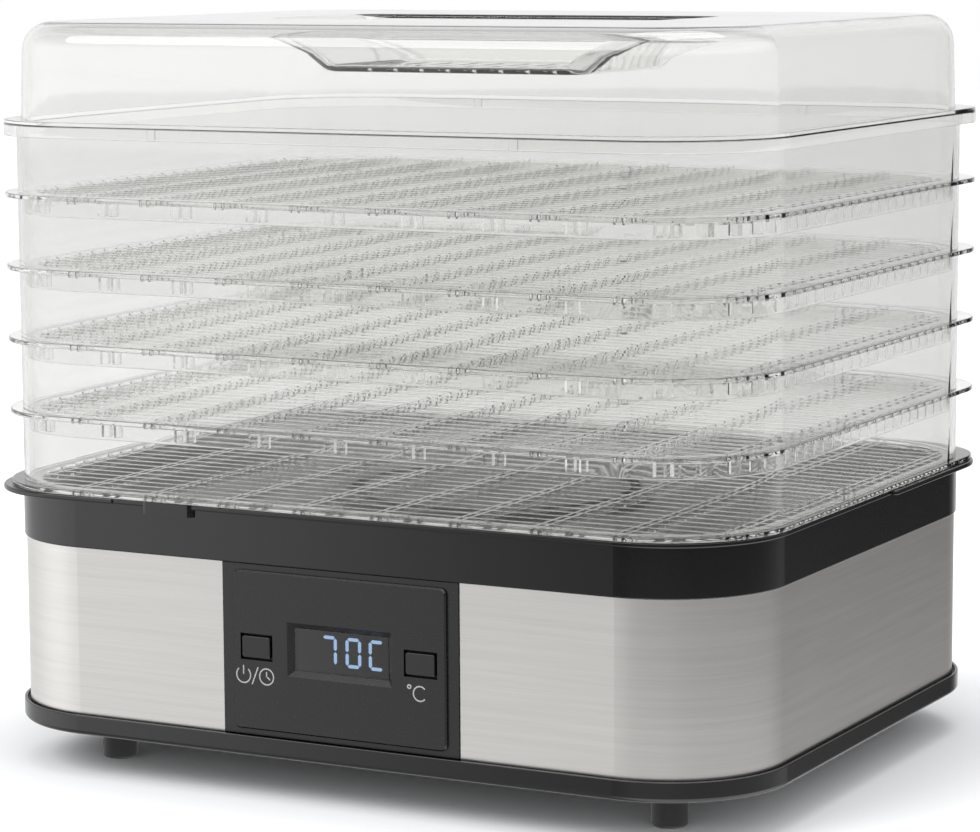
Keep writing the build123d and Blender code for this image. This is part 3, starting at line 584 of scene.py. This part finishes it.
def count(piece):
    """Prints the size and the faces of a piece, and its open edges if it has any."""
    mesh = bmesh.new()
    mesh.from_mesh(piece.data)
    loose = sum(1 for line in mesh.edges if len(line.link_faces) != 2)
    size = [round(value * 1000, 1) for value in piece.dimensions]
    print(f"{piece.name}: {size} mm, {len(mesh.faces)} faces, {loose} open edges")
    mesh.free()


def copy_of(piece, name, shift=(0, 0, 0)):
    """A copy with its own mesh, moved in its mesh."""
    twin = piece.copy()
    twin.data = piece.data.copy()
    twin.name = name
    twin.data.transform(Matrix.Translation(shift))
    scene.collection.objects.link(twin)
    return twin


# %% [markdown]
# The wall, the rim and the flange are slabs that share one outline at different offsets.
# Each has its edges rounded before they are united, so that no bevel runs into a corner
# between two of them. The floor's many small bars need no rounding of their own.

# %% Tray wall, rim and flange
WALL_OUT = 0.4 * MM
WALL_GAUGE = 2.0 * MM
RIM_OUT = -2.1 * MM
RIM_GAUGE = 1.4 * MM
RIM_DEPTH = 6.5 * MM
FLANGE_OUT = 2.5 * MM
FLOOR_OUT = -1.0 * MM
STACK_GAP = 0.08 * MM

tray = flange("tray", FLANGE_OUT, LIP_TOP, LIP_TOP + FLANGE)
soften(tray, 0.35 * MM)
combine(tray, footprint("hole", FLOOR_OUT, LIP_TOP - FLANGE, LIP_TOP + 2 * FLANGE), "DIFFERENCE")
wall = footprint("wall", WALL_OUT, LIP_TOP + FLANGE / 2, LIP_TOP + TRAY_PITCH - STACK_GAP, WALL_GAUGE)
soften(wall, 0.35 * MM)
combine(tray, wall, "UNION")
count(tray)

# %% [markdown]
# The floor repeats one cell 34 mm long and 9 mm deep. Bars run along the tray at every cell edge
# and two thin ribs cross each end, with slots between for the air. One cell is cut out of a
# plane, set out in rows and columns, thickened, and crossed with the tray's outline. The bars
# stop at a plain border.

# %% Tray floor
CELL_X = 34 * MM
CELL_Y = 9 * MM
COLUMNS = 11
ROWS = 31
BAR_HALF = 1.0 * MM
RIB_INNER = 14.7 * MM
RIB_OUTER = 15.9 * MM
BORDER = 6.0 * MM
FLOOR_SKIN = 0.1 * MM
BAR_DEPTH = 1.3 * MM

deselect()
bpy.ops.mesh.primitive_plane_add(size=1, location=(-CELL_X * (COLUMNS // 2), -CELL_Y * (ROWS // 2),
                                                   LIP_TOP + FLANGE))
grid = bpy.context.object
grid.name = "tray floor"
bpy.ops.transform.resize(value=(CELL_X, CELL_Y, 1))
bpy.ops.object.transform_apply(location=True, rotation=True, scale=True)
middle = Vector((-CELL_X * (COLUMNS // 2), -CELL_Y * (ROWS // 2), LIP_TOP + FLANGE))
edit(grid)
for offset in (-RIB_OUTER, -RIB_INNER, RIB_INNER, RIB_OUTER):
    bpy.ops.mesh.select_all(action="SELECT")
    bpy.ops.mesh.bisect(plane_co=middle + Vector((offset, 0, 0)), plane_no=(1, 0, 0))
for offset in (BAR_HALF - CELL_Y / 2, CELL_Y / 2 - BAR_HALF):
    bpy.ops.mesh.select_all(action="SELECT")
    bpy.ops.mesh.bisect(plane_co=middle + Vector((0, offset, 0)), plane_no=(0, 1, 0))


def in_slot(face):
    """True for the part of the cell that lets the air through."""
    place = face.calc_center_median() - middle
    return abs(place.y) < CELL_Y / 2 - BAR_HALF and not RIB_INNER < abs(place.x) < RIB_OUTER


pick("FACE", in_slot)
bpy.ops.mesh.delete(type="FACE")
close(grid)
modify(grid, "ARRAY", count=COLUMNS, use_relative_offset=False, use_constant_offset=True,
       constant_offset_displace=(CELL_X, 0, 0), use_merge_vertices=True, merge_threshold=0.01 * MM)
modify(grid, "ARRAY", count=ROWS, use_relative_offset=False, use_constant_offset=True,
       constant_offset_displace=(0, CELL_Y, 0), use_merge_vertices=True, merge_threshold=0.01 * MM)
edit(grid)
bpy.ops.mesh.remove_doubles(threshold=0.01 * MM)
bpy.ops.mesh.select_all(action="SELECT")
bpy.ops.transform.translate(value=(0, 0, -FLOOR_SKIN))
bpy.ops.mesh.extrude_region_move(TRANSFORM_OT_translate={"value": (0, 0, FLOOR_SKIN - FLANGE - BAR_DEPTH)})
close(grid)
bound = footprint("bound", FLOOR_OUT - BORDER / 2, LIP_TOP - RIM_DEPTH, LIP_TOP + 2 * FLANGE)
combine(grid, bound, "INTERSECT")
border = footprint("border", FLOOR_OUT + 0.5 * MM, LIP_TOP + FLOOR_SKIN,
                   LIP_TOP + FLANGE - 0.5 * FLOOR_SKIN, BORDER)
combine(grid, border, "UNION")
count(grid)

# %% [markdown]
# Under the floor the rim stands on the border. Where each bar and rib ends, a short gusset
# stiffens the corner between border and rim; from outside they show as a row of bright ticks
# along the sides and as pairs of blocks along the front.

# %% Rim and gussets
GUSSET_LENGTH = 2.6 * MM
rim = footprint("rim", RIM_OUT, LIP_TOP - RIM_DEPTH, LIP_TOP + 1.2 * MM, RIM_GAUGE)
soften(rim, 0.3 * MM)


def gussets(name, half_x, half_y, first, step, number):
    """Bars through the tray at an even step, kept only in a narrow band inside the rim."""
    piece = slab(name, half_x, half_y, LIP_TOP - RIM_DEPTH + 1.0 * MM, LIP_TOP + 0.6 * MM, centre=first)
    modify(piece, "ARRAY", count=number, use_relative_offset=False, use_constant_offset=True,
           constant_offset_displace=step)
    band = footprint("band", RIM_OUT - 0.4 * MM, LIP_TOP - RIM_DEPTH, LIP_TOP + FLANGE,
                     RIM_GAUGE + GUSSET_LENGTH)
    return combine(piece, band, "INTERSECT")


rows = ROWS - 5
side_gussets = gussets("side gussets", HALF_WIDTH, 0.8 * MM, (0, -CELL_Y * (rows // 2)),
                       (0, CELL_Y, 0), rows + 1)
columns = 9
first_column = -CELL_X * (columns // 2)
front_gussets = gussets("front gussets", 1.7 * MM, HALF_DEPTH, (first_column - 2.9 * MM, 0),
                        (CELL_X, 0, 0), columns)
more_gussets = gussets("more gussets", 1.2 * MM, HALF_DEPTH, (first_column + 2.3 * MM, 0),
                       (CELL_X, 0, 0), columns)
for part in (side_gussets, front_gussets, more_gussets):
    count(part)
    combine(rim, part, "UNION")
combine(grid, rim, "UNION")
combine(tray, grid, "UNION")
smooth(tray)
count(tray)

# %% [markdown]
# One tray is made; the other four are copies a tray pitch higher. Each copy rides its own lift
# joint and stands for its CAD node.

# %% Five trays
tray.data.materials.clear()
tray.data.materials.append(clear_san)
for number in range(TRAY_COUNT, 0, -1):
    lifted = (0, 0, (number - 1) * TRAY_PITCH)
    piece = copy_of(tray, f"clear_tray_{number}", lifted) if number > 1 else tray
    piece.name = f"clear_tray_{number}"
    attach(piece, f"tray_{number}")
    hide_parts(f"tray_{number}")
print("made", TRAY_COUNT, "trays")

# %% [markdown]
# ## Lid
# The lid is a deep clear cover with a drafted wall and a large round along its top edge. Its
# middle sinks into a tapered grip, with slots in the floor of the grip that let moist air out.
# It is modelled as a solid with the grip cut from it, and a smaller solid that leaves room for the
# wall of the grip is then taken out of the inside.

# %% Lid shell
LID_OUT = -1.5 * MM
LID_GAUGE = 1.9 * MM
LID_ROUND = 11 * MM
LID_FOOT = LID_SEAT + 0.3 * MM
LID_DRAFT = math.tan(math.radians(1.8))
GRIP_DEPTH = 19.5 * MM
GRIP_TOP = (84 * MM, 40 * MM)
GRIP_FLOOR = (57.5 * MM, 37 * MM)
GRIP_FLOOR_LEVEL = LID_TOP - GRIP_DEPTH
OVERSHOOT = 1.0 * MM


def cover(name, out, low, high, edge):
    """A footprint block that narrows upwards by the draft, with a round of the given size on top."""
    piece = footprint(name, out, low, high)
    narrowing = (high - low) * LID_DRAFT
    edit(piece)
    pick("FACE", lambda face: face.calc_center_median().z > high - 0.1 * MM)
    bpy.ops.transform.resize(value=(1 - narrowing / HALF_WIDTH, 1 - narrowing / HALF_DEPTH, 1),
                             center_override=(0, 0, high))
    pick("EDGE", lambda line: all(v.co.z > high - 0.1 * MM for v in line.verts))
    bpy.ops.mesh.bevel(offset=edge, segments=8, affect="EDGES")
    return close(piece)


def grip_block(name, grown):
    """The tapered block of the grip, grown outwards all round and down by a wall."""
    low = GRIP_FLOOR_LEVEL - grown
    slant = 1 + (OVERSHOOT + grown) / GRIP_DEPTH
    piece = slab(name, GRIP_FLOOR[0] + grown, GRIP_FLOOR[1] + grown, low, LID_TOP + OVERSHOOT, 7 * MM + grown)
    edit(piece)
    pick("FACE", lambda face: face.calc_center_median().z > LID_TOP)
    spread = [1 + (top_half - floor_half) * slant / (floor_half + grown)
              for top_half, floor_half in zip(GRIP_TOP, GRIP_FLOOR)]
    bpy.ops.transform.resize(value=(*spread, 1), center_override=(0, 0, LID_TOP))
    pick("EDGE", lambda line: all(v.co.z < low + 0.1 * MM for v in line.verts))
    bpy.ops.mesh.bevel(offset=1.2 * MM + 0.5 * grown, segments=4, affect="EDGES")
    return close(piece)


lid = cover("clear_lid", LID_OUT, LID_FOOT, LID_TOP, LID_ROUND)
combine(lid, grip_block("grip", 0), "DIFFERENCE")
edit(lid)
pick("EDGE", lambda line: all(v.co.z > LID_TOP - 0.1 * MM and abs(v.co.x) < 1.1 * GRIP_TOP[0]
                              and abs(v.co.y) < 1.1 * GRIP_TOP[1] for v in line.verts))
bpy.ops.mesh.bevel(offset=1.4 * MM, segments=3, affect="EDGES")
close(lid)
count(lid)
cavity = cover("cavity", LID_OUT - LID_GAUGE, LID_FOOT - OVERSHOOT, LID_TOP - LID_GAUGE,
               LID_ROUND - LID_GAUGE)
combine(cavity, grip_block("grip wall", LID_GAUGE), "DIFFERENCE")
combine(lid, cavity, "DIFFERENCE")
count(lid)

# %% [markdown]
# A slot cutter, set out in two rows of eight, opens the vents. The lid's flange repeats the
# tray's, with a skirt below it that hangs over the top tray's wall, and four small blocks in the
# skirt keep the wall centred.

# %% Vents, flange and skirt of the lid
VENT_PITCH = 12 * MM
VENTS = 8
vent = slab("vent", 1.5 * MM, 10 * MM, GRIP_FLOOR_LEVEL - 2 * LID_GAUGE, GRIP_FLOOR_LEVEL + LID_GAUGE,
            1.4 * MM, centre=(-3.5 * VENT_PITCH, -13 * MM))
modify(vent, "ARRAY", count=VENTS, use_relative_offset=False, use_constant_offset=True,
       constant_offset_displace=(VENT_PITCH, 0, 0))
modify(vent, "ARRAY", count=2, use_relative_offset=False, use_constant_offset=True,
       constant_offset_displace=(0, 26 * MM, 0))
combine(lid, vent, "DIFFERENCE")

SKIRT_LOW = LID_SEAT - 4.4 * MM
SKIRT_GAUGE = 1.5 * MM
SEAT_GAP = 0.05 * MM
skirt = flange("skirt", FLANGE_OUT, SKIRT_LOW, LID_SEAT + FLANGE)
inside = flange("inside", FLANGE_OUT - SKIRT_GAUGE, SKIRT_LOW - FLANGE, LID_SEAT + SEAT_GAP, SKIRT_GAUGE)
combine(skirt, inside, "DIFFERENCE")
combine(skirt, footprint("mouth", -2.6 * MM, SKIRT_LOW, LID_TOP), "DIFFERENCE")
soften(skirt, 0.35 * MM)
combine(lid, skirt, "UNION")
SPACER_X = 78.5 * MM
for side in (-1, 1):
    for end in (-1, 1):
        spacer = slab("spacer", 1.8 * MM, 0.5 * MM, SKIRT_LOW + 0.4 * MM, LID_SEAT + 0.6 * MM,
                      centre=(side * SPACER_X, end * (HALF_DEPTH + 1.1 * MM)))
        combine(lid, spacer, "UNION")
smooth(lid)
lid.data.materials.clear()
lid.data.materials.append(clear_san)
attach(lid, "lid")
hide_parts("lid")
count(lid)

# %% [markdown]
# ## Display and print
# Behind the smoked window a seven-segment module shows the drying temperature. One segment is a
# thin bar with pointed ends; it is copied and turned into the lit places of each digit. The
# module glows a cold white-blue.

# %% Lit digits
DIGIT_HALF_X = 2.75 * MM
DIGIT_HALF_Z = 5.25 * MM
STROKE = 1.3 * MM
DIGIT_Z = 61.4 * MM
DIGIT_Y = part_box("display_module")[0].y
GLOW_DEPTH = 0.15 * MM

glow, tree = new_material("lit display segment")
place = add_node(tree, "ShaderNodeTexCoord")
grain = add_node(tree, "ShaderNodeTexNoise", {"Vector": place.outputs["Object"], "Scale": 1 / (1.2 * MM)})
level = add_node(tree, "ShaderNodeMapRange", {"Value": grain.outputs["Fac"], "To Min": 5.5, "To Max": 6.5})
light = add_node(tree, "ShaderNodeEmission", {"Color": linear("#9cc4f5"), "Strength": level.outputs[0]})
add_node(tree, "ShaderNodeOutputMaterial", {"Surface": light.outputs[0]})


def segment(name, half_length, upright, x, z):
    """One lit bar on the front of the display module."""
    deselect()
    bpy.ops.mesh.primitive_plane_add(size=2, location=(x, DIGIT_Y, z), rotation=(math.pi / 2, 0, 0))
    piece = bpy.context.object
    piece.name = name
    half = (STROKE / 2, half_length) if upright else (half_length, STROKE / 2)
    bpy.ops.transform.resize(value=(half[0], 1, half[1]))
    bpy.ops.object.transform_apply(location=True, rotation=True, scale=True)
    edit(piece)
    pick("VERT", lambda vertex: True)
    bpy.ops.mesh.bevel(offset=0.48 * STROKE, segments=1, affect="VERTICES")
    bpy.ops.mesh.select_all(action="SELECT")
    bpy.ops.mesh.extrude_region_move(TRANSFORM_OT_translate={"value": (0, -GLOW_DEPTH, 0)})
    close(piece)
    piece.data.materials.append(glow)
    return piece


PLACES = {"top": (0, 1, False), "bottom": (0, -1, False), "upper_left": (-1, 0.5, True),
          "upper_right": (1, 0.5, True), "lower_left": (-1, -0.5, True), "lower_right": (1, -0.5, True)}
DEGREES_X = 17.15 * MM
DIGITS = {"seven": (-3.75 * MM, ("top", "upper_right", "lower_right")),
          "zero": (6.95 * MM, ("top", "bottom", "upper_left", "upper_right", "lower_left",
                               "lower_right")),
          "degrees": (DEGREES_X, ("top", "bottom", "upper_left", "lower_left"))}
lit = []
for digit, (digit_x, bars) in DIGITS.items():
    for bar in bars:
        across, above, upright = PLACES[bar]
        length = (DIGIT_HALF_Z / 2 if upright else DIGIT_HALF_X) - 0.25 * MM
        lit.append(segment(f"digit_{digit}_{bar}", length, upright, digit_x + across * DIGIT_HALF_X,
                           DIGIT_Z + above * DIGIT_HALF_Z))
# the small mark at the upper left of the C makes it read as degrees
lit.append(segment("digit_degree_mark", 0.75 * MM, False, DEGREES_X - DIGIT_HALF_X,
                   DIGIT_Z + 0.82 * DIGIT_HALF_Z))
for piece in lit:
    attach(piece, "base")
print("lit", len(lit), "segments")

# %% [markdown]
# The key marks are pad-printed in light grey on the panel: power and timer under the left key,
# degrees Celsius under the right. They are flat shapes a few hundredths of a millimetre thick.

# %% Printed marks
print_ink, tree = new_material("pad-printed grey ink")
place = add_node(tree, "ShaderNodeTexCoord")
wear = add_node(tree, "ShaderNodeTexNoise", {"Vector": place.outputs["Object"], "Scale": 1 / (1.5 * MM)})
tone = add_node(tree, "ShaderNodeMix", {"Factor": wear.outputs["Fac"], 6: linear("#9c9c9a"),
                                        7: linear("#b6b6b4")}, data_type="RGBA")
surface = add_node(tree, "ShaderNodeBsdfPrincipled", {"Base Color": tone.outputs[2], "Roughness": 0.5})
add_node(tree, "ShaderNodeOutputMaterial", {"Surface": surface.outputs[0]})

PANEL_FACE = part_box("control_panel")[0].y
INK = 0.05 * MM
LINE = 0.52 * MM


def raise_ink(piece):
    """Gives a flat mark its thickness, standing on the panel."""
    edit(piece)
    bpy.ops.mesh.extrude_region_move(TRANSFORM_OT_translate={"value": (0, -INK, 0)})
    close(piece)
    piece.data.materials.append(print_ink)
    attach(piece, "base")
    return piece


def ring(name, x, z, radius, gap=0.0, gap_at=90.0):
    """A printed ring, open by gap degrees about the direction gap_at (from +X, upwards)."""
    deselect()
    bpy.ops.mesh.primitive_circle_add(vertices=60, radius=radius, fill_type="NGON",
                                      location=(x, PANEL_FACE, z), rotation=(math.pi / 2, 0, 0))
    piece = bpy.context.object
    piece.name = name
    bpy.ops.object.transform_apply(location=True, rotation=True, scale=True)
    edit(piece)
    bpy.ops.mesh.select_mode(type="FACE")
    bpy.ops.mesh.inset(thickness=LINE)
    bpy.ops.mesh.delete(type="FACE")

    def in_gap(face):
        place = face.calc_center_median()
        away = math.degrees(math.atan2(place.z - z, place.x - x)) - gap_at
        return abs((away + 180) % 360 - 180) < gap / 2

    if pick("FACE", in_gap):
        bpy.ops.mesh.delete(type="FACE")
    bpy.ops.object.mode_set(mode="OBJECT")
    return raise_ink(piece)


def stroke(name, x, z, length, degrees):
    """A printed bar with rounded ends, centred on x and z, at an angle from +X upwards."""
    deselect()
    bpy.ops.mesh.primitive_plane_add(size=1, location=(0, 0, 0))
    piece = bpy.context.object
    piece.name = name
    bpy.ops.transform.resize(value=(length, LINE, 1))
    bpy.ops.object.transform_apply(location=True, rotation=True, scale=True)
    edit(piece)
    pick("VERT", lambda vertex: True)
    bpy.ops.mesh.bevel(offset=0.4 * LINE, segments=4, affect="VERTICES")
    bpy.ops.object.mode_set(mode="OBJECT")
    piece.data.transform(Matrix.Translation((x, PANEL_FACE, z))
                         @ Matrix.Rotation(math.radians(-degrees), 4, "Y")
                         @ Matrix.Rotation(math.pi / 2, 4, "X"))
    return raise_ink(piece)


MARK_Z = 49.4 * MM
POWER_X = -40.2 * MM
CLOCK_X = -29.8 * MM
ring("mark_power_ring", POWER_X, MARK_Z, 3.4 * MM, gap=80)
stroke("mark_power_bar", POWER_X, MARK_Z + 2.0 * MM, 3.6 * MM, 90)
stroke("mark_slash", (POWER_X + CLOCK_X) / 2, MARK_Z, 7.6 * MM, 68)
ring("mark_clock_ring", CLOCK_X, MARK_Z, 3.4 * MM)
stroke("mark_clock_minute", CLOCK_X, MARK_Z + 0.9 * MM, 2.2 * MM, 90)
stroke("mark_clock_hour", CLOCK_X + 0.8 * MM, MARK_Z - 0.5 * MM, 2.0 * MM, -38)
ring("mark_celsius_degree", 33.3 * MM, MARK_Z + 2.4 * MM, 0.95 * MM)
ring("mark_celsius_letter", 37.9 * MM, MARK_Z, 3.1 * MM, gap=80, gap_at=0)
